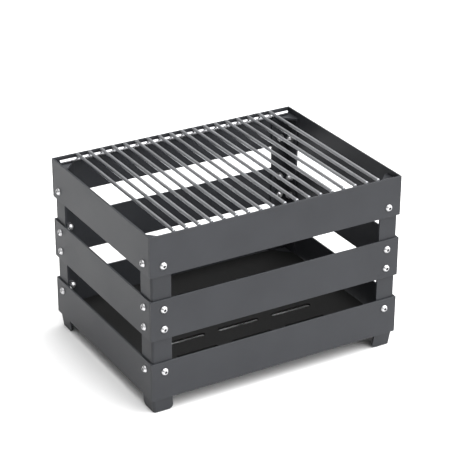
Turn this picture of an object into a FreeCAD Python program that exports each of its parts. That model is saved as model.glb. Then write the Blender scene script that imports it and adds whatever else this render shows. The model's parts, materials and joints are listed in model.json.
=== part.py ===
"""Fire pit with grate: a crate of flat steel bands bolted to four folded corner posts.

The origin is on the floor under the middle of the crate: +X along the long side, +Y from the front
to the back, +Z up.  All sizes are in millimetres.
"""
import FreeCAD, Part
import os
import re
import Sketcher

from FreeCAD import Placement, Rotation, Vector

# Driving sizes: name, value, what it is.
SIZE_TABLE = [
    ("crate_length", 400.0, "outside length, front and back"),
    ("crate_depth", 300.0, "outside depth, left and right"),
    ("plate_wall", 2.5, "sheet of the bands"),
    ("band_height", 60.0, "height of the middle and top bands"),
    ("low_band_height", 57.5, "height of the lowest band"),
    ("band_gap", 35.5, "open gap between two bands"),
    ("plate_corner", 1.0, "rounding of a band's corners"),
    ("plate_edge", 0.45, "broken edge round a band's faces"),
    ("seam_gap", 0.5, "gap between a side band's end and the long band"),
    ("foot_height", 22.0, "foot below the lowest band"),
    ("foot_lean", 2.5, "how far a foot leans in at the floor"),
    ("foot_round", 6.5, "rounded lower corner of a foot"),
    ("post_leg", 30.0, "width of each leg of a corner post"),
    ("post_wall", 3.0, "sheet of the corner posts"),
    ("post_bend", 3.5, "outside bend radius of a post"),
    ("tab_drop", 8.5, "grate tab below the rim"),
    ("tab_cut", 26.5, "slanted cut across a grate tab"),
    ("base_tab_lift", 10.0, "base tab above the lowest band's lower edge"),
    ("base_tab_cut", 17.0, "slanted cut across a base tab"),
    ("screw_inset", 20.0, "screw from the crate's outside corner"),
    ("screw_edge", 15.0, "screw from the band's edge at the open gap"),
    ("screw_hole", 6.6, "clearance hole for the M6 screws"),
    ("shank_width", 5.9, "M6 screw shank"),
    ("shank_length", 11.0, "screw under its head"),
    ("shank_point", 0.6, "bevelled end of the shank"),
    ("head_width", 10.5, "button head"),
    ("head_height", 3.3, "button head"),
    ("head_rim", 0.5, "straight rim of the button head"),
    ("head_flat", 5.8, "flat on top of the button head"),
    ("socket_width", 4.0, "hexagon socket across its flats"),
    ("socket_depth", 2.1, "hexagon socket"),
    ("nut_width", 10.0, "cap nut across its flats"),
    ("nut_hex", 5.5, "height of the cap nut's hexagon"),
    ("nut_height", 9.0, "whole cap nut"),
    ("nut_dome", 9.5, "width of the cap nut's dome"),
    ("nut_bore", 6.0, "threaded bore, plain"),
    ("nut_bore_depth", 7.0, "threaded bore"),
    ("base_wall", 3.0, "sheet of the base plate"),
    ("base_slack", 1.0, "base plate inside the posts, each side"),
    ("base_cut", 26.0, "slanted cut across the base plate's corners, clear of the nuts"),
    ("slot_length", 60.0, "air slot between its end centres"),
    ("slot_width", 8.0, "air slot"),
    ("slot_step", 40.0, "from one row of air slots to the next"),
    ("slot_bridge", 30.0, "between two slots in a row, centre to centre of their ends"),
    ("rod_width", 6.0, "cross rods of the grate"),
    ("rod_slack", 5.5, "cross rod's end to the side band"),
    ("rod_seat", 0.2, "clearance under the cross rods"),
    ("bar_width", 5.0, "grate bars"),
    ("bar_slack", 2.0, "bar's end to the long band"),
    ("bar_margin", 35.5, "first bar's middle from the side band's inside"),
    ("bar_end", 0.7, "rounding of the ends of bars and rods"),
    ("grate_forward", 1.5, "how far forward of the middle the grate lies"),
]
BAR_COUNT = 18
SLOT_ROWS = 5
SLOTS_PER_ROW = 3
BANDS = ["bottom", "middle", "top"]
# Side name, turn about Z in degrees, the sizes along and across it, and what its two ends are near.
SIDES = [
    ("front", 0, "crate_length", "crate_depth", ("left", "right")),
    ("right", 90, "crate_depth", "crate_length", ("front", "back")),
    ("back", 180, "crate_length", "crate_depth", ("right", "left")),
    ("left", 270, "crate_depth", "crate_length", ("back", "front")),
]
# Corner name, turn about Z in degrees, and the signs of its X and Y.
CORNERS = [
    ("front_left", 0, "-", "-"),
    ("front_right", 90, "", "-"),
    ("back_right", 180, "", ""),
    ("back_left", 270, "-", ""),
]
# Expressions that several pieces share.
BAND_PITCH = "(band_height + band_gap)"
LOW_BAND_TOP = "(foot_height + low_band_height)"
RIM_TOP = f"({LOW_BAND_TOP} + 2 * {BAND_PITCH})"
POST_TOP = f"({RIM_TOP} - tab_drop)"
POST_INSIDE = "(plate_wall + post_wall)"
POST_OUTER_END = "(plate_wall + post_leg)"
BASE_TAB_TOP = "(foot_height + base_tab_lift)"
LOW_SCREW = f"({LOW_BAND_TOP} - screw_edge)"
SCREW_HEIGHTS = [
    LOW_SCREW,
    f"({LOW_SCREW} + band_gap + 2 * screw_edge)",
    f"({LOW_SCREW} + {BAND_PITCH})",
    f"({LOW_SCREW} + band_gap + 2 * screw_edge + {BAND_PITCH})",
]
ROD_CENTRE = f"({POST_TOP} + rod_seat + rod_width / 2)"
BAR_CENTRE = f"({ROD_CENTRE} + rod_width / 2 + bar_width / 2)"
BAR_LENGTH = "(crate_depth - 2 * plate_wall - 2 * bar_slack)"
ROD_LENGTH = "(crate_length - 2 * plate_wall - 2 * rod_slack)"

UPRIGHT = Rotation(Vector(1, 0, 0), 90)
SMALL = 0.01

doc = FreeCAD.newDocument("FirePit")
sheet = doc.addObject("Spreadsheet::Sheet", "Sizes")
ALIASES = set()
kept = []


# ---------------------------------------------------------------- the sheet and its expressions

def fill_sheet():
    """Writes every driving size in the sheet under its own name."""
    for row, (name, value, meaning) in enumerate(SIZE_TABLE, start=1):
        sheet.set(f"A{row}", name)
        sheet.set(f"B{row}", str(value))
        sheet.set(f"C{row}", meaning)
        sheet.setAlias(f"B{row}", name)
        ALIASES.add(name)
    doc.recompute()


def bind(thing, path, formula):
    """Binds a property to a formula written with the sheet's names."""
    text = re.sub(r"[a-z_]+", lambda word: f"Sizes.{word[0]}" if word[0] in ALIASES else word[0], formula)
    thing.setExpression(path, text)


def size(name):
    """Reads one size, for picking edges by where they lie."""
    return float(sheet.get(name))


def keep(piece, label):
    """Marks a finished sub-part, whose label names its file."""
    piece.Label = label
    kept.append(piece)


def place(piece, rotation, x="", y="", z=""):
    """Turns a piece, and binds the coordinates that are given."""
    piece.Placement = Placement(Vector(0, 0, 0), rotation)
    for axis, formula in (("x", x), ("y", y), ("z", z)):
        if formula:
            bind(piece, f"Placement.Base.{axis}", formula)


# ---------------------------------------------------------------- sketches and features

def new_body(label):
    body = doc.addObject("PartDesign::Body", label)
    keep(body, label)
    return body


def new_sketch(body, name, role, offset=""):
    """A sketch on one of the body's own origin planes, raised by an offset along its normal."""
    sketch = body.newObject("Sketcher::SketchObject", name)
    origin_plane = next(item for item in body.Origin.OriginFeatures if item.Role == role)
    sketch.AttachmentSupport = (origin_plane, [""])
    sketch.MapMode = "FlatFace"
    if offset:
        bind(sketch, "AttachmentOffset.Base.z", offset)
    return sketch


def dimension(sketch, kind, *targets, formula):
    """Adds a driving dimension and binds it."""
    number = sketch.addConstraint(Sketcher.Constraint(kind, *targets, 1.0))
    bind(sketch, f"Constraints[{number}]", formula)


def outline(sketch, corners):
    """A closed outline of straight lines; each corner is a pair of formulas from the origin."""
    count = len(corners)
    ring = [Rotation(Vector(0, 0, 1), 360 * step / count).multVec(Vector(10, 0, 0)) for step in range(count)]
    lines = [sketch.addGeometry(Part.LineSegment(ring[step], ring[(step + 1) % count])) for step in range(count)]
    for step, line in enumerate(lines):
        sketch.addConstraint(Sketcher.Constraint("Coincident", line, 2, lines[(step + 1) % count], 1))
    for line, (across, along) in zip(lines, corners):
        dimension(sketch, "DistanceX", -1, 1, line, 1, formula=across)
        dimension(sketch, "DistanceY", -1, 1, line, 1, formula=along)


def circle(sketch, width, across="", along=""):
    """A circle at a place given by two formulas, or at the origin."""
    ring = sketch.addGeometry(Part.Circle(Vector(1, 1, 0), Vector(0, 0, 1), 1))
    dimension(sketch, "Diameter", ring, formula=width)
    if across:
        dimension(sketch, "DistanceX", -1, 1, ring, 3, formula=across)
        dimension(sketch, "DistanceY", -1, 1, ring, 3, formula=along)
    else:
        sketch.addConstraint(Sketcher.Constraint("Coincident", ring, 3, -1, 1))


def pad(body, name, sketch, length):
    feature = body.newObject("PartDesign::Pad", name)
    feature.Profile = (sketch, [""])
    bind(feature, "Length", length)
    doc.recompute()
    return feature


def cut_through(body, name, sketch):
    """Cuts a sketch through everything, both ways, and makes sure that something was cut."""
    before = body.Shape.Volume
    feature = body.newObject("PartDesign::Pocket", name)
    feature.Profile = (sketch, [""])
    feature.Type = "ThroughAll"
    feature.Midplane = True
    doc.recompute()
    if body.Shape.Volume > before - SMALL:
        raise RuntimeError(f"{body.Label}: {name} cuts nothing")
    return feature


def round_edges(body, name, radius, wanted):
    """Rounds the edges of the body's last feature for which wanted(edge) is true."""
    base = body.Tip
    edges = [f"Edge{number}" for number, edge in enumerate(base.Shape.Edges, start=1) if wanted(edge)]
    if not edges:
        raise RuntimeError(f"{body.Label}: {name} finds no edge")
    feature = body.newObject("PartDesign::Fillet", name)
    feature.Base = (base, edges)
    bind(feature, "Radius", radius)
    doc.recompute()
    return feature


def spans(edge, axis):
    """True for a straight edge along one axis: 0, 1 or 2."""
    start, end = edge.firstVertex().Point, edge.lastVertex().Point
    moved = end - start
    return abs(abs(moved[axis]) - edge.Length) < SMALL and edge.Length > SMALL


def lies_at(edge, **coordinates):
    """True for an edge whose two ends have the coordinates that are given."""
    ends = (edge.firstVertex().Point, edge.lastVertex().Point)
    return all(abs(getattr(end, axis) - value) < SMALL for end in ends for axis, value in coordinates.items())


# ---------------------------------------------------------------- bands

def band_plate(side, turn, along, across, level, band):
    """One flat plate: drawn flat with its inside face down, then stood up against the posts."""
    body = new_body(f"{side}_plate_{band}")
    half = "(crate_length / 2)" if along == "crate_length" else "(crate_depth / 2 - plate_wall - seam_gap)"
    height = "low_band_height" if band == "bottom" else "band_height"
    profile = new_sketch(body, "outline", "XY_Plane")
    outline(profile, [(f"-{half}", f"-{height} / 2"), (half, f"-{height} / 2"),
                      (half, f"{height} / 2"), (f"-{half}", f"{height} / 2")])
    pad(body, "sheet", profile, "plate_wall")
    round_edges(body, "corners", "plate_corner", lambda edge: spans(edge, 2))
    faces = (0.0, size("plate_wall"))
    round_edges(body, "edges", "plate_edge", lambda edge: any(lies_at(edge, z=face) for face in faces))
    holes = new_sketch(body, "holes", "XY_Plane")
    for end in ("-", ""):
        across_hole = f"{end}({along} / 2 - screw_inset)"
        if band != "bottom":
            circle(holes, "screw_hole", across_hole, f"screw_edge - {height} / 2")
        if band != "top":
            circle(holes, "screw_hole", across_hole, f"{height} / 2 - screw_edge")
    cut_through(body, "screw_holes", holes)
    outward = Rotation(Vector(0, 0, 1), turn)
    direction = outward.multVec(Vector(0, -1, 0))
    reach = f"({across} / 2 - plate_wall)"
    middle = f"{LOW_BAND_TOP} + {level} * {BAND_PITCH} - {height} / 2"
    place(body, outward * UPRIGHT, f"{direction.x:.0f} * {reach}", f"{direction.y:.0f} * {reach}", middle)


# ---------------------------------------------------------------- corner posts

def corner_post(corner, turn, sign_x, sign_y):
    """A folded angle with a leaning foot, a tab for the grate and a tab for the base plate.

    Drawn with the crate's outside corner at the origin and its two legs along +X and +Y.
    """
    body = new_body(f"post_{corner}")
    section = new_sketch(body, "section", "XY_Plane", "foot_height")
    outline(section, [("plate_wall", "plate_wall"), (POST_OUTER_END, "plate_wall"),
                      (POST_OUTER_END, POST_INSIDE), (POST_INSIDE, POST_INSIDE),
                      (POST_INSIDE, POST_OUTER_END), ("plate_wall", POST_OUTER_END)])
    pad(body, "upright", section, f"{POST_TOP} - post_wall - foot_height")
    outer = size("plate_wall")
    inner = outer + size("post_wall")
    round_edges(body, "bend_inside", "post_bend - post_wall", lambda edge: lies_at(edge, x=inner, y=inner))
    for name, cut, top in (("grate_tab", "tab_cut", POST_TOP), ("base_tab", "base_tab_cut", BASE_TAB_TOP)):
        tab = new_sketch(body, f"{name}_outline", "XY_Plane", f"{top} - post_wall")
        outline(tab, [("plate_wall", "plate_wall"), (POST_OUTER_END, "plate_wall"),
                      (POST_OUTER_END, f"{POST_OUTER_END} - {cut}"),
                      (f"{POST_OUTER_END} - {cut}", POST_OUTER_END), ("plate_wall", POST_OUTER_END)])
        pad(body, name, tab, "post_wall")
    round_edges(body, "bend", "post_bend", lambda edge: lies_at(edge, x=outer, y=outer))
    foot_of(body)
    for role in ("XZ_Plane", "YZ_Plane"):
        holes = new_sketch(body, f"holes_{role[:2]}", role)
        for height in SCREW_HEIGHTS:
            circle(holes, "screw_hole", "screw_inset", height)
        cut_through(body, f"screw_holes_{role[:2]}", holes)
    place(body, Rotation(Vector(0, 0, 1), turn), f"{sign_x}crate_length / 2", f"{sign_y}crate_depth / 2")


def foot_of(body):
    """Continues the post's section down to the floor, leaning in, with rounded lower corners."""
    base = body.Tip
    lower = next(f"Face{number}" for number, face in enumerate(base.Shape.Faces, start=1)
                 if abs(face.CenterOfMass.z - size("foot_height")) < SMALL and abs(face.normalAt(0, 0).z) > 0.99)
    foot = body.newObject("PartDesign::Pad", "foot")
    foot.Profile = (base, [lower])
    foot.UseCustomVector = True
    foot.AlongSketchNormal = True
    foot.Direction = Vector(1, 1, -1)
    bind(foot, "Direction.x", "foot_lean")
    bind(foot, "Direction.y", "foot_lean")
    bind(foot, "Direction.z", "-foot_height")
    bind(foot, "Length", "foot_height")
    doc.recompute()
    end = size("plate_wall") + size("post_leg") + size("foot_lean")
    round_edges(body, "foot_corners", "foot_round",
                lambda edge: lies_at(edge, x=end, z=0.0) or lies_at(edge, y=end, z=0.0))


# ---------------------------------------------------------------- screws and nuts

def primitive(kind, name, height="", **formulas):
    """A Part primitive with its sizes bound, raised along Z by a formula."""
    piece = doc.addObject(f"Part::{kind}", name)
    for path, formula in formulas.items():
        bind(piece, path, formula)
    if height:
        bind(piece, "Placement.Base.z", height)
    return piece


def combine(kind, name, base, tool):
    result = doc.addObject(f"Part::{kind}", name)
    result.Base = base
    result.Tool = tool
    return result


def button_screw():
    """M6 button head screw, head outwards along +Z, with the seat of its head at the origin."""
    drop = "((head_flat^2 - head_width^2) / 4 + head_height^2 - head_rim^2) / (2 * (head_height - head_rim))"
    blank = primitive("Cylinder", "head_blank", Radius="head_width / 2", Height="head_height")
    ball = primitive("Sphere", "head_ball", drop, Radius=f"sqrt(head_width^2 / 4 + (head_rim - {drop})^2)")
    head = combine("Common", "head", blank, ball)
    straight = primitive("Cylinder", "shank", "shank_point - shank_length", Radius="shank_width / 2",
                         Height="shank_length - shank_point")
    point = primitive("Cone", "shank_end", "-shank_length", Radius1="shank_width / 2 - shank_point",
                      Radius2="shank_width / 2", Height="shank_point")
    socket = primitive("Prism", "socket", "head_height - socket_depth", Circumradius="socket_width / sqrt(3)",
                       Height="2 * socket_depth")
    socket.Polygon = 6
    shank = combine("Fuse", "shank_whole", straight, point)
    blank_screw = combine("Fuse", "screw_blank", head, shank)
    return combine("Cut", "screw", blank_screw, socket)


def cap_nut():
    """M6 cap nut with its seat at the origin and its dome along -Z."""
    cap = "(nut_height - nut_hex)"
    ball_radius = f"((nut_dome^2 / 4 + {cap}^2) / (2 * {cap}))"
    hexagon = primitive("Prism", "nut_hexagon", "-nut_hex", Circumradius="nut_width / sqrt(3)", Height="nut_hex")
    hexagon.Polygon = 6
    ball = primitive("Sphere", "nut_ball", f"{ball_radius} - nut_height", Radius=ball_radius)
    limit = primitive("Cylinder", "nut_limit", "-nut_height", Radius="nut_dome / 2", Height=cap)
    dome = combine("Common", "nut_dome_cap", ball, limit)
    bore = primitive("Cylinder", "nut_thread", "-nut_bore_depth", Radius="nut_bore / 2", Height="nut_bore_depth")
    blank = combine("Fuse", "nut_blank", hexagon, dome)
    return combine("Cut", "nut", blank, bore)


def fastener_column(label, pattern, turn, along, across, end, seat):
    """Four like fasteners up one side of one post, as separate solids in one group."""
    links = []
    for number, height in enumerate(SCREW_HEIGHTS, start=1):
        link = doc.addObject("App::Link", f"{label}_{number}")
        link.LinkedObject = pattern
        link.LinkTransform = False
        bind(link, "Placement.Base.y", height)
        links.append(link)
    column = doc.addObject("Part::Compound", label)
    column.Links = links
    outward = Rotation(Vector(0, 0, 1), turn)
    normal = outward.multVec(Vector(0, -1, 0))
    sideways = outward.multVec(Vector(1, 0, 0))
    reach = f"({across} / 2 - {seat})"
    inset = f"{end}({along} / 2 - screw_inset)"
    place(column, outward * UPRIGHT,
          f"{normal.x:.0f} * {reach} + {sideways.x:.0f} * ({inset})",
          f"{normal.y:.0f} * {reach} + {sideways.y:.0f} * ({inset})")
    keep(column, label)


# ---------------------------------------------------------------- base plate

def base_plate():
    """A flat plate with cut corners and rows of air slots, lying loose on the four base tabs."""
    body = new_body("base_plate")
    far = f"(crate_length / 2 - {POST_INSIDE} - base_slack)"
    deep = f"(crate_depth / 2 - {POST_INSIDE} - base_slack)"
    corners = []
    for sign_x, sign_y, long_first in (("-", "-", True), ("", "-", False), ("", "", True), ("-", "", False)):
        on_side = (f"{sign_x}{far}", f"{sign_y}({deep} - base_cut)")
        on_front = (f"{sign_x}({far} - base_cut)", f"{sign_y}{deep}")
        corners += [on_side, on_front] if long_first else [on_front, on_side]
    profile = new_sketch(body, "outline", "XY_Plane")
    outline(profile, corners)
    pad(body, "sheet", profile, "base_wall")
    faces = (0.0, size("base_wall"))
    round_edges(body, "edges", "plate_edge", lambda edge: any(lies_at(edge, z=face) for face in faces))
    step = "(slot_length + slot_bridge)"
    straight = new_sketch(body, "slot_middles", "XY_Plane")
    ends = new_sketch(body, "slot_ends", "XY_Plane")
    for row in range(SLOT_ROWS):
        middle_y = f"{row - (SLOT_ROWS - 1) / 2} * slot_step"
        for column in range(SLOTS_PER_ROW):
            middle_x = f"{column - (SLOTS_PER_ROW - 1) / 2} * {step}"
            left = f"{middle_x} - slot_length / 2"
            right = f"{middle_x} + slot_length / 2"
            low = f"{middle_y} - slot_width / 2"
            high = f"{middle_y} + slot_width / 2"
            outline(straight, [(left, low), (right, low), (right, high), (left, high)])
            circle(ends, "slot_width", left, middle_y)
            circle(ends, "slot_width", right, middle_y)
    cut_through(body, "slots", straight)
    cut_through(body, "slot_rounds", ends)
    place(body, Rotation(), z=BASE_TAB_TOP)


# ---------------------------------------------------------------- grate

def round_bar(label, width, length):
    """A round bar along Z, centred, with rounded ends."""
    body = new_body(label)
    profile = new_sketch(body, "section", "XY_Plane", f"-{length} / 2")
    circle(profile, width)
    pad(body, "bar", profile, length)
    round_edges(body, "ends", "bar_end", lambda edge: edge.Length > SMALL and not spans(edge, 2))
    return body


def grate():
    """Bars from front to back, lying on two cross rods that rest on the posts' tabs."""
    rod_reach = f"({BAR_LENGTH} / 2 - rod_width / 2)"
    for side, sign in (("front", "-"), ("back", "")):
        rod = round_bar(f"grate_rod_{side}", "rod_width", ROD_LENGTH)
        place(rod, Rotation(Vector(0, 1, 0), 90), y=f"{sign}{rod_reach} - grate_forward", z=ROD_CENTRE)
    first = "(bar_margin + plate_wall - crate_length / 2)"
    for number in range(BAR_COUNT):
        bar = round_bar(f"grate_bar_{number + 1:02d}", "bar_width", BAR_LENGTH)
        share = (BAR_COUNT - 1 - 2 * number) / (BAR_COUNT - 1)
        place(bar, UPRIGHT, x=f"{share:.6f} * {first}", y="-grate_forward", z=BAR_CENTRE)


# ---------------------------------------------------------------- the whole pit, checks and files

def check_document():
    """Stops on any failed feature, and on a kept piece whose shape is empty or not valid."""
    for thing in doc.Objects:
        if "Invalid" in thing.State or "Error" in thing.State:
            raise RuntimeError(f"{thing.Label} failed: {thing.State}")
    for piece in kept:
        if piece.Shape.isNull() or not piece.Shape.isValid():
            raise RuntimeError(f"{piece.Label} has no valid shape")


def write_parts():
    os.makedirs("parts", exist_ok=True)
    for piece in kept:
        piece.Shape.exportStep(f"parts/{piece.Label}.step")
        print(f"{piece.Label}: {len(piece.Shape.Solids)} solid(s), {piece.Shape.Volume / 1000:.2f} cm3")


def main():
    fill_sheet()
    for side, turn, along, across, _ in SIDES:
        for level, band in enumerate(BANDS):
            band_plate(side, turn, along, across, level, band)
    for corner in CORNERS:
        corner_post(*corner)
    screw = button_screw()
    nut = cap_nut()
    for side, turn, along, across, ends in SIDES:
        for near, end in zip(ends, ("-", "")):
            fastener_column(f"screws_{side}_{near}", screw, turn, along, across, end, "0")
            fastener_column(f"nuts_{side}_{near}", nut, turn, along, across, end, POST_INSIDE)
    base_plate()
    grate()
    doc.recompute()
    check_document()
    write_parts()


main()
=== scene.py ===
"""Fire pit with grate: coated crate of bolted steel bands, loose base plate and a grate of drawn bars."""
import json
import math

import bmesh
import bpy
from bpy.props import FloatProperty, FloatVectorProperty, IntProperty, PointerProperty
from mathutils import Matrix, Vector

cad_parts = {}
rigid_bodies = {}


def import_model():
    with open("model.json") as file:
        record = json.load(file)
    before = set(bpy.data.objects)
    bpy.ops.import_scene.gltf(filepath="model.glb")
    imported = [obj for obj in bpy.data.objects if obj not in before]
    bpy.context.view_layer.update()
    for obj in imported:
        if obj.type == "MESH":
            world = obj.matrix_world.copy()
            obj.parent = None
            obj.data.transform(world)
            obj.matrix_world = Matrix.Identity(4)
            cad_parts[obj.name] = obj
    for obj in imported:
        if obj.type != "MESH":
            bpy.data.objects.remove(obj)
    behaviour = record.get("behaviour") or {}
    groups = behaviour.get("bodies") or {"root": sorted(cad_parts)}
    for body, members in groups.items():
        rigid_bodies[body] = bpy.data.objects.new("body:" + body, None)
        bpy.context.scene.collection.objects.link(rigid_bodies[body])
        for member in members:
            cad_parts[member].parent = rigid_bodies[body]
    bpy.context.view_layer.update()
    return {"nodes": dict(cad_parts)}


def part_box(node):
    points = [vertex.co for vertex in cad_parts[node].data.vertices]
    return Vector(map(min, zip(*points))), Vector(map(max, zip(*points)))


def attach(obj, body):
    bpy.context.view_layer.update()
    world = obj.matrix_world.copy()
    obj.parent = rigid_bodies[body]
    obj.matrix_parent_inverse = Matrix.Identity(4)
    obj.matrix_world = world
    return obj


bl_info = {
    "name": "Fire pit with grate",
    "version": (1, 0, 0),
    "blender": (4, 5, 0),
    "location": "3D View > Sidebar > Fire Pit",
    "description": "Finishes the steel crate, its fasteners and its grate, "
                   "adds the welds and sets a plain studio",
    "category": "Object",
}

for leftover in list(bpy.data.objects):
    bpy.data.objects.remove(leftover)
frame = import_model()

MM = 0.001
PLATES = sorted(name for name in frame["nodes"] if "_plate_" in name)
POSTS = sorted(name for name in frame["nodes"] if name.startswith("post_"))
SCREWS = sorted(name for name in frame["nodes"] if name.startswith("screws_"))
NUTS = sorted(name for name in frame["nodes"] if name.startswith("nuts_"))
RODS = sorted(name for name in frame["nodes"] if name.startswith("grate_rod_"))
BARS = sorted(name for name in frame["nodes"] if name.startswith("grate_bar_"))

# Coatings: shares of the colour, steps in roughness, patches per metre and depth of the relief.
MOTTLE_SHADES = (0.9, 1.1)
# Painted highlight: the coating's edges are painted lighter, as this share of its colour.
EDGE_HIGHLIGHT_SHARE = 8.0
MOTTLE_ROUGHNESS = (-0.05, 0.03)
GRIT_ROUGHNESS = 0.06
BAND_MOTTLE = 14.0
BASE_MOTTLE = 9.0
BASE_ROUGHNESS = 0.62
POST_DULLING = 0.03
BEAD_DULLING = 0.08
COATING_RELIEF = 0.03 * MM

# Drawn steel: the same, and the scales of its lines across and along a bar.
STREAK_SHADES = (0.88, 1.06)
STAIN_SHADE = 0.7
BAR_STAIN = 0.25
FASTENER_STAIN = 0.12
STAIN_ROUGHNESS = (-0.05, 0.06)
STREAK_ROUGHNESS = 0.08
ROD_ROUGHNESS = 0.24
ACROSS = 1800.0
ALONG = 25.0
FASTENER_LINES = 700.0
STREAK_RELIEF = 0.012 * MM
# Painted shade in the fasteners' sockets: the reach of its occlusion, the occlusion range over which it
# fades in, and its share of the colour.
SOCKET_OCCLUSION_REACH = 3.0 * MM
SOCKET_OCCLUSION_RANGE = (0.35, 0.8)
SOCKET_PAINTED_SHADE = 0.03

# Weld metal, and the shape of one ripple of a bead as shares of half its width.
WELD_TINT = (0.5, 0.44, 0.36)
WELD_SHADE = 0.75
WELD_SCALE = 900.0
WELD_ROUGHNESS = (0.35, 0.6)
WELD_RELIEF = 0.1 * MM
BEAD_SINK = 0.15
BEAD_ACROSS = 0.75
BEAD_ALONG = 0.9
FLASH_FACETS = (12, 7)
BEAD_FACETS = (10, 6)
MERGE_DISTANCE = 0.001 * MM

# Studio.
FLOOR_HALF = 6.0
FLOOR_COLOUR = (0.82, 0.82, 0.82, 1.0)
FLOOR_ROUGHNESS = 0.9
FLOOR_SHEEN = 0.1
SENSOR_WIDTH = 36.0


# ---------------------------------------------------------------- settings

class CoatingSettings(bpy.types.PropertyGroup):
    colour: FloatVectorProperty(name="Colour", description="Heat-resistant coating of the bands",
                                subtype="COLOR", size=3, default=(0.029, 0.0305, 0.0345), min=0, max=1)
    post_shade: FloatProperty(name="Post shade", description="Posts' colour as a share of the bands'",
                              default=0.9, min=0, max=2, subtype="FACTOR")
    base_colour: FloatVectorProperty(name="Base colour", description="Coating of the base plate",
                                     subtype="COLOR", size=3, default=(0.003, 0.003, 0.003), min=0, max=1)
    roughness: FloatProperty(name="Roughness", description="Middle roughness of the satin coating",
                             default=0.42, min=0, max=1, subtype="FACTOR")
    sheen: FloatProperty(name="Sheen", description="Strength of the coating's mirror-like part",
                         default=0.24, min=0, max=1, subtype="FACTOR")
    peel: FloatProperty(name="Orange peel", description="Size of the ripples in the coating",
                        default=1.3 * MM, min=0.1 * MM, max=10 * MM, subtype="DISTANCE", unit="LENGTH")
    edge_highlight: FloatProperty(name="Painted edge highlight", description="How much the edges are painted lighter as a highlight",
                             default=0.6, min=0, max=1, subtype="FACTOR")


class SteelSettings(bpy.types.PropertyGroup):
    bar_colour: FloatVectorProperty(name="Bar colour", description="Drawn steel of the grate bars",
                                    subtype="COLOR", size=3, default=(0.52, 0.53, 0.55), min=0, max=1)
    rod_colour: FloatVectorProperty(name="Rod colour", description="Bright steel of the cross rods",
                                    subtype="COLOR", size=3, default=(0.66, 0.66, 0.68), min=0, max=1)
    fastener_colour: FloatVectorProperty(name="Fastener colour", description="Polished screws and nuts",
                                         subtype="COLOR", size=3, default=(0.68, 0.68, 0.69), min=0, max=1)
    bar_roughness: FloatProperty(name="Bar roughness", description="Middle roughness of the bars",
                                 default=0.3, min=0, max=1, subtype="FACTOR")
    fastener_roughness: FloatProperty(name="Fastener roughness", description="Roughness of screws and nuts",
                                      default=0.3, min=0, max=1, subtype="FACTOR")


class WeldSettings(bpy.types.PropertyGroup):
    spot_width: FloatProperty(name="Spot weld", description="Width of the flash round a spot weld",
                              default=4.2 * MM, min=MM, max=10 * MM, subtype="DISTANCE", unit="LENGTH")
    spot_height: FloatProperty(name="Spot weld height", description="Height of the flash round a spot weld",
                               default=1.7 * MM, min=0.2 * MM, max=5 * MM, subtype="DISTANCE", unit="LENGTH")
    bead_width: FloatProperty(name="Bead", description="Width of the bead under a tab",
                              default=3.0 * MM, min=MM, max=8 * MM, subtype="DISTANCE", unit="LENGTH")
    bead_length: FloatProperty(name="Bead length", description="Length of the bead under a tab",
                               default=24.0 * MM, min=5 * MM, max=30 * MM, subtype="DISTANCE", unit="LENGTH")
    bead_inset: FloatProperty(name="Bead inset",
                              description="Sheet of the post, from its outside to the bead",
                              default=3.0 * MM, min=MM, max=6 * MM, subtype="DISTANCE", unit="LENGTH")
    bead_ripples: IntProperty(name="Ripples", description="Ripples along the bead under a tab",
                              default=11, min=2, max=40)


class StageSettings(bpy.types.PropertyGroup):
    lens: FloatProperty(name="Lens", description="Focal length of the camera",
                        default=135.848, min=10, max=500, unit="CAMERA")
    place: FloatVectorProperty(name="Camera place", description="Where the camera stands",
                               size=3, default=(-1.13474, -1.95823, 1.27638), subtype="XYZ", unit="LENGTH")
    azimuth: FloatProperty(name="Azimuth", description="Turn of the camera about the vertical",
                           default=math.radians(-30.102), subtype="ANGLE")
    elevation: FloatProperty(name="Elevation", description="Height angle of the camera",
                             default=math.radians(26.083), subtype="ANGLE")
    roll: FloatProperty(name="Roll", description="Roll of the camera",
                        default=math.radians(0.151), subtype="ANGLE")
    bright_sky: FloatProperty(name="Bright sky", description="Light of the large soft box",
                              default=3.3, min=0, max=10)
    dim_sky: FloatProperty(name="Dim sky", description="Light from all other directions",
                           default=0.27, min=0, max=10)
    box_centre: FloatVectorProperty(name="Soft box", description="Direction of the middle of the soft box",
                                    size=3, default=(0.24, -0.14, 0.96), subtype="DIRECTION")
    fill: FloatProperty(name="Fill",
                        description="Light of the second soft box, low in front and to the right",
                        default=2.6, min=0, max=10)
    fill_centre: FloatVectorProperty(name="Fill direction",
                                     description="Direction of the middle of the second soft box",
                                     size=3, default=(0.76, -0.6, 0.25), subtype="DIRECTION")
    box_edges: FloatVectorProperty(name="Soft box edges",
                                   description="Cosines from its middle where it starts and is full",
                                   size=2, default=(0.5, 0.85), min=-1, max=1)


# ---------------------------------------------------------------- node helpers

def add_node(tree, kind, sockets=None, **settings):
    """A node with its settings and the constant values of some sockets."""
    item = tree.nodes.new(kind)
    for name, value in settings.items():
        setattr(item, name, value)
    for name, value in (sockets or {}).items():
        item.inputs[name].default_value = value
    return item


def join(tree, start, end):
    tree.links.new(start, end)


def new_group(name, inputs, outputs):
    """An empty shader node group with its named sockets."""
    group = bpy.data.node_groups.new(name, "ShaderNodeTree")
    for label, default in inputs:
        socket = group.interface.new_socket(label, in_out="INPUT", socket_type="NodeSocketFloat")
        socket.default_value = default
    for label in outputs:
        group.interface.new_socket(label, in_out="OUTPUT", socket_type="NodeSocketFloat")
    return group, group.nodes.new("NodeGroupInput"), group.nodes.new("NodeGroupOutput")


def new_material(name):
    material = bpy.data.materials.new(name)
    material.use_nodes = True
    tree = material.node_tree
    return material, tree, tree.nodes["Principled BSDF"]


def place_group(tree, group, **values):
    """A group node with its inputs set, named as its sockets with spaces for underscores."""
    item = tree.nodes.new("ShaderNodeGroup")
    item.node_tree = group
    for name, value in values.items():
        item.inputs[name.replace("_", " ")].default_value = value
    return item


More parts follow.
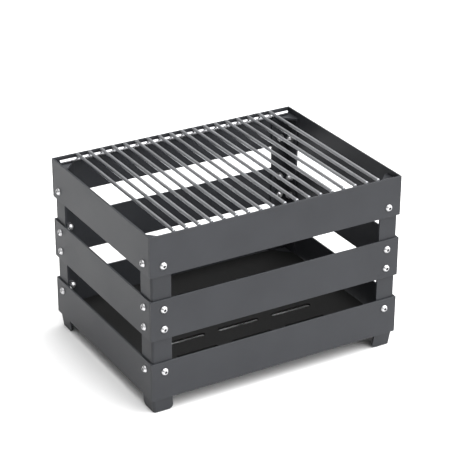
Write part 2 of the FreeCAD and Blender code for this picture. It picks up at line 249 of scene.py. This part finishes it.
def math_node(tree, operation, first, second=None):
    """A Math node whose two inputs are sockets or plain numbers."""
    item = tree.nodes.new("ShaderNodeMath")
    item.operation = operation
    for socket, value in zip(item.inputs, (first, second)):
        if isinstance(value, bpy.types.NodeSocket):
            join(tree, value, socket)
        elif value is not None:
            socket.default_value = value
    return item.outputs[0]


def spread(tree, source, low, high, start=0.0, end=1.0):
    """Carries a value from one range to another, held inside it."""
    item = add_node(tree, "ShaderNodeMapRange",
                    {"From Min": start, "From Max": end, "To Min": low, "To Max": high})
    join(tree, source, item.inputs["Value"])
    return item.outputs["Result"]


def mix_colours(tree, share, first, second):
    item = add_node(tree, "ShaderNodeMix", data_type="RGBA")
    join(tree, share, item.inputs["Factor"])
    for socket, value in ((item.inputs["A"], first), (item.inputs["B"], second)):
        if isinstance(value, bpy.types.NodeSocket):
            join(tree, value, socket)
        else:
            socket.default_value = value
    return item.outputs["Result"]


def shade(colour, share):
    return tuple(min(1.0, part * share) for part in colour) + (1.0,)


def bump(tree, shader, height, distance, strength=1.0):
    item = add_node(tree, "ShaderNodeBump", {"Distance": distance, "Strength": strength})
    join(tree, height, item.inputs["Height"])
    join(tree, item.outputs["Normal"], shader.inputs["Normal"])


def paint(names, material):
    """Gives CAD nodes a material; their meshes stay as they are."""
    for name in names:
        node = frame["nodes"][name]
        for slot in node.material_slots:
            slot.link = "OBJECT"
            slot.material = material


# ---------------------------------------------------------------- shared effects

def edge_effect():
    """Edge: a mask that is high on thin edges and corners, broken up by fine noise."""
    group, inside, outside = new_group("Painted edge highlight", [("Reach", 0.6 * MM), ("Break Scale", 400.0)], ["Edge"])
    rounded = add_node(group, "ShaderNodeBevel", samples=4)
    join(group, inside.outputs["Reach"], rounded.inputs["Radius"])
    surface = group.nodes.new("ShaderNodeNewGeometry")
    agreement = add_node(group, "ShaderNodeVectorMath", operation="DOT_PRODUCT")
    join(group, rounded.outputs["Normal"], agreement.inputs[0])
    join(group, surface.outputs["Normal"], agreement.inputs[1])
    sharpness = spread(group, agreement.outputs["Value"], 1.0, 0.0, 0.75, 0.99)
    where = group.nodes.new("ShaderNodeTexCoord")
    noise = add_node(group, "ShaderNodeTexNoise", {"Detail": 3.0})
    join(group, where.outputs["Object"], noise.inputs["Vector"])
    join(group, inside.outputs["Break Scale"], noise.inputs["Scale"])
    broken = spread(group, noise.outputs["Fac"], 0.25, 1.0, 0.35, 0.65)
    join(group, math_node(group, "MULTIPLY", sharpness, broken), outside.inputs["Edge"])
    return group


def coating_effect():
    """Height: ripples and grit of a sprayed coating.  Mottle: broad faint variation.  Grit: fine specks."""
    inputs = [("Ripple Size", 1.3 * MM), ("Mottle Scale", BAND_MOTTLE)]
    group, inside, outside = new_group("Sprayed coating", inputs, ["Height", "Mottle", "Grit"])
    where = group.nodes.new("ShaderNodeTexCoord")
    ripple = add_node(group, "ShaderNodeTexNoise", {"Detail": 1.5, "Roughness": 0.45})
    join(group, where.outputs["Object"], ripple.inputs["Vector"])
    join(group, math_node(group, "DIVIDE", 1.0, inside.outputs["Ripple Size"]), ripple.inputs["Scale"])
    grit = add_node(group, "ShaderNodeTexNoise", {"Detail": 2.0, "Scale": 4200.0})
    join(group, where.outputs["Object"], grit.inputs["Vector"])
    mottle = add_node(group, "ShaderNodeTexNoise", {"Detail": 4.0, "Roughness": 0.6})
    join(group, where.outputs["Object"], mottle.inputs["Vector"])
    join(group, inside.outputs["Mottle Scale"], mottle.inputs["Scale"])
    fine = math_node(group, "MULTIPLY", grit.outputs["Fac"], 0.25)
    join(group, math_node(group, "ADD", ripple.outputs["Fac"], fine), outside.inputs["Height"])
    join(group, spread(group, mottle.outputs["Fac"], 0.0, 1.0, 0.3, 0.7), outside.inputs["Mottle"])
    join(group, grit.outputs["Fac"], outside.inputs["Grit"])
    return group


def drawn_effect():
    """Streak: fine lines along a drawn bar.  Stain: broad dull patches.  Three scales stretch the lines."""
    scales = [(f"Scale {axis}", ACROSS) for axis in "XYZ"]
    group, inside, outside = new_group("Drawn steel", scales, ["Streak", "Stain"])
    where = group.nodes.new("ShaderNodeTexCoord")
    stretch = group.nodes.new("ShaderNodeCombineXYZ")
    for axis in "XYZ":
        join(group, inside.outputs[f"Scale {axis}"], stretch.inputs[axis])
    stretched = add_node(group, "ShaderNodeVectorMath", operation="MULTIPLY")
    join(group, where.outputs["Object"], stretched.inputs[0])
    join(group, stretch.outputs[0], stretched.inputs[1])
    lines = add_node(group, "ShaderNodeTexNoise", {"Scale": 1.0, "Detail": 4.0, "Roughness": 0.65})
    join(group, stretched.outputs[0], lines.inputs["Vector"])
    patches = add_node(group, "ShaderNodeTexNoise", {"Scale": 38.0, "Detail": 3.0})
    join(group, where.outputs["Object"], patches.inputs["Vector"])
    join(group, spread(group, lines.outputs["Fac"], 0.0, 1.0, 0.3, 0.7), outside.inputs["Streak"])
    join(group, spread(group, patches.outputs["Fac"], 0.0, 1.0, 0.35, 0.65), outside.inputs["Stain"])
    return group


def effect(name, maker):
    """A shared node group, made the first time that it is asked for."""
    return bpy.data.node_groups.get(name) or maker()


# ---------------------------------------------------------------- materials

def coated_steel(name, colour, roughness, coat, mottle_scale=BAND_MOTTLE):
    """Satin heat-resistant coating: faint mottling, orange peel and edges painted lighter as a highlight."""
    material, tree, shader = new_material(name)
    coating = place_group(tree, effect("Sprayed coating", coating_effect), Ripple_Size=coat.peel,
                          Mottle_Scale=mottle_scale)
    shader.inputs["Specular IOR Level"].default_value = coat.sheen
    edges = place_group(tree, effect("Painted edge highlight", edge_effect))
    ground = mix_colours(tree, coating.outputs["Mottle"], *(shade(colour, part) for part in MOTTLE_SHADES))
    # Painted highlight: the colour on thin edges is mixed towards a much lighter one.
    highlighted = math_node(tree, "MULTIPLY", edges.outputs["Edge"], coat.edge_highlight)
    join(tree, mix_colours(tree, highlighted, ground, shade(colour, EDGE_HIGHLIGHT_SHARE)), shader.inputs["Base Color"])
    speckle = math_node(tree, "MULTIPLY", coating.outputs["Grit"], GRIT_ROUGHNESS)
    middle = spread(tree, coating.outputs["Mottle"], *(roughness + step for step in MOTTLE_ROUGHNESS))
    join(tree, math_node(tree, "ADD", middle, speckle), shader.inputs["Roughness"])
    bump(tree, shader, coating.outputs["Height"], COATING_RELIEF)
    return material


def drawn_steel(name, colour, roughness, scales, stain=BAR_STAIN):
    """Bare drawn steel with fine lines along it and faint dull patches."""
    material, tree, shader = new_material(name)
    shader.inputs["Metallic"].default_value = 1.0
    drawn = place_group(tree, effect("Drawn steel", drawn_effect), Scale_X=scales[0], Scale_Y=scales[1],
                        Scale_Z=scales[2])
    lines = mix_colours(tree, drawn.outputs["Streak"], *(shade(colour, part) for part in STREAK_SHADES))
    dulled = math_node(tree, "MULTIPLY", drawn.outputs["Stain"], stain)
    join(tree, mix_colours(tree, dulled, lines, shade(colour, STAIN_SHADE)), shader.inputs["Base Color"])
    worn = spread(tree, drawn.outputs["Stain"], *(roughness + step for step in STAIN_ROUGHNESS))
    fine = math_node(tree, "MULTIPLY", drawn.outputs["Streak"], STREAK_ROUGHNESS)
    join(tree, math_node(tree, "ADD", worn, fine), shader.inputs["Roughness"])
    bump(tree, shader, drawn.outputs["Streak"], STREAK_RELIEF)
    return material


def fastener_steel(name, colour, roughness):
    """Polished steel, with painted shade darkening the narrow sockets and seats wherever ambient occlusion
    finds them.
    """
    material = drawn_steel(name, colour, roughness, (FASTENER_LINES,) * 3, FASTENER_STAIN)
    tree = material.node_tree
    shader = tree.nodes["Principled BSDF"]
    # Painted shade: the colour is darkened where ambient occlusion finds the sockets and seats.
    occlusion = add_node(tree, "ShaderNodeAmbientOcclusion", {"Distance": SOCKET_OCCLUSION_REACH},
                       samples=8, only_local=True)
    depth = spread(tree, occlusion.outputs["AO"], 1.0, 0.0, *SOCKET_OCCLUSION_RANGE)
    unshaded = shader.inputs["Base Color"].links[0].from_socket
    join(tree, mix_colours(tree, depth, unshaded, shade(colour, SOCKET_PAINTED_SHADE)), shader.inputs["Base Color"])
    return material


def weld_steel(name, colour):
    """Rough, slightly heat-tinted weld metal."""
    material, tree, shader = new_material(name)
    shader.inputs["Metallic"].default_value = 1.0
    where = tree.nodes.new("ShaderNodeTexCoord")
    noise = add_node(tree, "ShaderNodeTexNoise", {"Scale": WELD_SCALE, "Detail": 3.0})
    join(tree, where.outputs["Object"], noise.inputs["Vector"])
    tint = mix_colours(tree, noise.outputs["Fac"], shade(colour, WELD_SHADE), shade(WELD_TINT, 1.0))
    join(tree, tint, shader.inputs["Base Color"])
    join(tree, spread(tree, noise.outputs["Fac"], *WELD_ROUGHNESS), shader.inputs["Roughness"])
    bump(tree, shader, noise.outputs["Fac"], WELD_RELIEF)
    return material


# ---------------------------------------------------------------- meshes

def finished(name, mesh, material, body):
    """Turns a bmesh into a named piece that rides a body, with smooth faces and its normals outwards."""
    bmesh.ops.remove_doubles(mesh, verts=mesh.verts, dist=MERGE_DISTANCE)
    bmesh.ops.recalc_face_normals(mesh, faces=mesh.faces)
    data = bpy.data.meshes.new(name)
    mesh.to_mesh(data)
    mesh.free()
    for face in data.polygons:
        face.use_smooth = True
    data.materials.append(material)
    piece = bpy.data.objects.new(name, data)
    bpy.context.scene.collection.objects.link(piece)
    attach(piece, body)
    return piece


def middle_of(node):
    low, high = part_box(node)
    return (low + high) / 2


def blob(mesh, centre, scales, facets):
    """A small squashed ball added to a mesh."""
    place = Matrix.Translation(centre) @ Matrix.Diagonal((*scales, 1.0))
    bmesh.ops.create_uvsphere(mesh, u_segments=facets[0], v_segments=facets[1], radius=1.0, matrix=place)


# ---------------------------------------------------------------- operators

class FIREPIT_OT_bands(bpy.types.Operator):
    """Coats the twelve band plates"""
    bl_idname = "firepit.bands"
    bl_label = "Bands"

    def execute(self, context):
        coat = context.scene.firepit_coating
        paint(PLATES, coated_steel("Band coating", coat.colour, coat.roughness, coat))
        return {"FINISHED"}


class FIREPIT_OT_posts(bpy.types.Operator):
    """Coats the four folded corner posts"""
    bl_idname = "firepit.posts"
    bl_label = "Corner posts"

    def execute(self, context):
        coat = context.scene.firepit_coating
        colour = shade(coat.colour, coat.post_shade)[:3]
        paint(POSTS, coated_steel("Post coating", colour, coat.roughness + POST_DULLING, coat))
        return {"FINISHED"}


class FIREPIT_OT_base(bpy.types.Operator):
    """Coats the loose base plate in matt black"""
    bl_idname = "firepit.base"
    bl_label = "Base plate"

    def execute(self, context):
        coat = context.scene.firepit_coating
        material = coated_steel("Base coating", coat.base_colour, BASE_ROUGHNESS, coat, BASE_MOTTLE)
        paint(["base_plate"], material)
        return {"FINISHED"}


class FIREPIT_OT_fasteners(bpy.types.Operator):
    """Polishes the button-head screws and the cap nuts"""
    bl_idname = "firepit.fasteners"
    bl_label = "Screws and nuts"

    def execute(self, context):
        steel = context.scene.firepit_steel
        paint(SCREWS, fastener_steel("Screw steel", steel.fastener_colour, steel.fastener_roughness))
        paint(NUTS, fastener_steel("Nut steel", steel.fastener_colour, steel.fastener_roughness))
        return {"FINISHED"}


class FIREPIT_OT_grate(bpy.types.Operator):
    """Finishes the grate's bars and cross rods as drawn steel"""
    bl_idname = "firepit.grate"
    bl_label = "Grate"

    def execute(self, context):
        steel = context.scene.firepit_steel
        paint(BARS, drawn_steel("Bar steel", steel.bar_colour, steel.bar_roughness, (ACROSS, ALONG, ACROSS)))
        paint(RODS, drawn_steel("Rod steel", steel.rod_colour, ROD_ROUGHNESS, (ALONG, ACROSS, ACROSS)))
        return {"FINISHED"}


class FIREPIT_OT_spot_welds(bpy.types.Operator):
    """Adds the flash of the resistance weld at each crossing of a bar and a rod"""
    bl_idname = "firepit.spot_welds"
    bl_label = "Spot welds"

    def execute(self, context):
        weld = context.scene.firepit_weld
        material = weld_steel("Weld flash", context.scene.firepit_steel.bar_colour)
        half = weld.spot_width / 2
        for rod in RODS:
            rod_middle = middle_of(rod)
            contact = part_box(rod)[1].z
            mesh = bmesh.new()
            for bar in BARS:
                centre = Vector((middle_of(bar).x, rod_middle.y, contact))
                blob(mesh, centre, (half, half, weld.spot_height / 2), FLASH_FACETS)
            finished(rod.replace("rod", "welds"), mesh, material, "grate")
        return {"FINISHED"}


class FIREPIT_OT_tab_welds(bpy.types.Operator):
    """Adds the rippled bead that joins each folded tab to the post's other leg"""
    bl_idname = "firepit.tab_welds"
    bl_label = "Tab welds"

    def execute(self, context):
        coat = context.scene.firepit_coating
        weld = context.scene.firepit_weld
        colour = shade(coat.colour, coat.post_shade)[:3]
        material = coated_steel("Bead coating", colour, coat.roughness + BEAD_DULLING, coat)
        tab_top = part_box(POSTS[0])[1].z
        half = weld.bead_width / 2
        sink = BEAD_SINK * half
        scales = (BEAD_ACROSS * half, BEAD_ALONG * half, BEAD_ACROSS * half)
        wall = weld.bead_inset
        for post in POSTS:
            low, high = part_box(post)
            mesh = bmesh.new()
            inward = Vector((-math.copysign(1.0, low.x + high.x), -math.copysign(1.0, low.y + high.y), 0.0))
            corner = Vector((low.x if inward.x > 0 else high.x, low.y if inward.y > 0 else high.y, 0.0))
            for step in range(weld.bead_ripples):
                along = wall + half + (weld.bead_length - half) * step / (weld.bead_ripples - 1)
                centre = corner + Vector((inward.x * (wall + sink), inward.y * along, tab_top - wall))
                blob(mesh, centre - Vector((0, 0, sink)), scales, BEAD_FACETS)
            finished(post.replace("post", "tab_weld"), mesh, material, "crate")
        return {"FINISHED"}


class FIREPIT_OT_stage(bpy.types.Operator):
    """Adds the pale floor, the soft studio light and the camera"""
    bl_idname = "firepit.stage"
    bl_label = "Studio"

    def execute(self, context):
        stage = context.scene.firepit_stage
        self.floor()
        self.sky(stage)
        self.camera(context, stage)
        context.scene.view_settings.view_transform = "Standard"
        return {"FINISHED"}

    def floor(self):
        mesh = bmesh.new()
        bmesh.ops.create_grid(mesh, x_segments=1, y_segments=1, size=FLOOR_HALF)
        data = bpy.data.meshes.new("floor")
        mesh.to_mesh(data)
        mesh.free()
        plane = bpy.data.objects.new("floor", data)
        bpy.context.scene.collection.objects.link(plane)
        material, _, shader = new_material("Pale floor")
        shader.inputs["Base Color"].default_value = FLOOR_COLOUR
        shader.inputs["Roughness"].default_value = FLOOR_ROUGHNESS
        shader.inputs["Specular IOR Level"].default_value = FLOOR_SHEEN
        data.materials.append(material)

    def sky(self, stage):
        """A large soft box above and a weaker one in front and to the right, in dim light all round."""
        world = bpy.context.scene.world or bpy.data.worlds.new("Studio")
        bpy.context.scene.world = world
        world.use_nodes = True
        tree = world.node_tree
        where = tree.nodes.new("ShaderNodeTexCoord")
        levels = []
        for centre, lowest, highest in ((stage.box_centre, stage.dim_sky, stage.bright_sky),
                                        (stage.fill_centre, 0.0, stage.fill)):
            towards = add_node(tree, "ShaderNodeVectorMath", operation="DOT_PRODUCT")
            join(tree, where.outputs["Generated"], towards.inputs[0])
            towards.inputs[1].default_value = centre
            levels.append(spread(tree, towards.outputs["Value"], lowest, highest, *stage.box_edges))
        join(tree, math_node(tree, "ADD", *levels), tree.nodes["Background"].inputs["Strength"])
        tree.nodes["Background"].inputs["Color"].default_value = (1.0, 1.0, 1.0, 1.0)

    def camera(self, context, stage):
        data = bpy.data.cameras.new("camera")
        data.lens = stage.lens
        data.sensor_width = SENSOR_WIDTH
        view = bpy.data.objects.new("camera", data)
        context.scene.collection.objects.link(view)
        turned = Matrix.Rotation(stage.azimuth, 4, "Z")
        raised = Matrix.Rotation(math.pi / 2 - stage.elevation, 4, "X")
        rolled = Matrix.Rotation(stage.roll, 4, "Z")
        view.matrix_world = Matrix.Translation(stage.place) @ turned @ raised @ rolled
        context.scene.camera = view


class FIREPIT_PT_panel(bpy.types.Panel):
    """Lists the steps that finish the fire pit"""
    bl_idname = "FIREPIT_PT_panel"
    bl_label = "Fire Pit"
    bl_space_type = "VIEW_3D"
    bl_region_type = "UI"
    bl_category = "Fire Pit"

    def draw(self, context):
        for step in STEPS:
            self.layout.operator(step.bl_idname)
        for group in ("firepit_coating", "firepit_steel", "firepit_weld", "firepit_stage"):
            settings = getattr(context.scene, group)
            box = self.layout.box()
            for name in settings.__annotations__:
                box.prop(settings, name)


SETTINGS = {
    "firepit_coating": CoatingSettings,
    "firepit_steel": SteelSettings,
    "firepit_weld": WeldSettings,
    "firepit_stage": StageSettings,
}
STEPS = [
    FIREPIT_OT_bands,
    FIREPIT_OT_posts,
    FIREPIT_OT_base,
    FIREPIT_OT_fasteners,
    FIREPIT_OT_grate,
    FIREPIT_OT_spot_welds,
    FIREPIT_OT_tab_welds,
    FIREPIT_OT_stage,
]


def register():
    for group in SETTINGS.values():
        bpy.utils.register_class(group)
    for step in STEPS:
        bpy.utils.register_class(step)
    bpy.utils.register_class(FIREPIT_PT_panel)
    for name, group in SETTINGS.items():
        setattr(bpy.types.Scene, name, PointerProperty(type=group))


def unregister():
    for name in SETTINGS:
        delattr(bpy.types.Scene, name)
    bpy.utils.unregister_class(FIREPIT_PT_panel)
    for item in [*reversed(STEPS), *SETTINGS.values()]:
        bpy.utils.unregister_class(item)


def main():
    register()
    for step in STEPS:
        family, name = step.bl_idname.split(".")
        getattr(getattr(bpy.ops, family), name)()


if __name__ == "__main__":
    main()
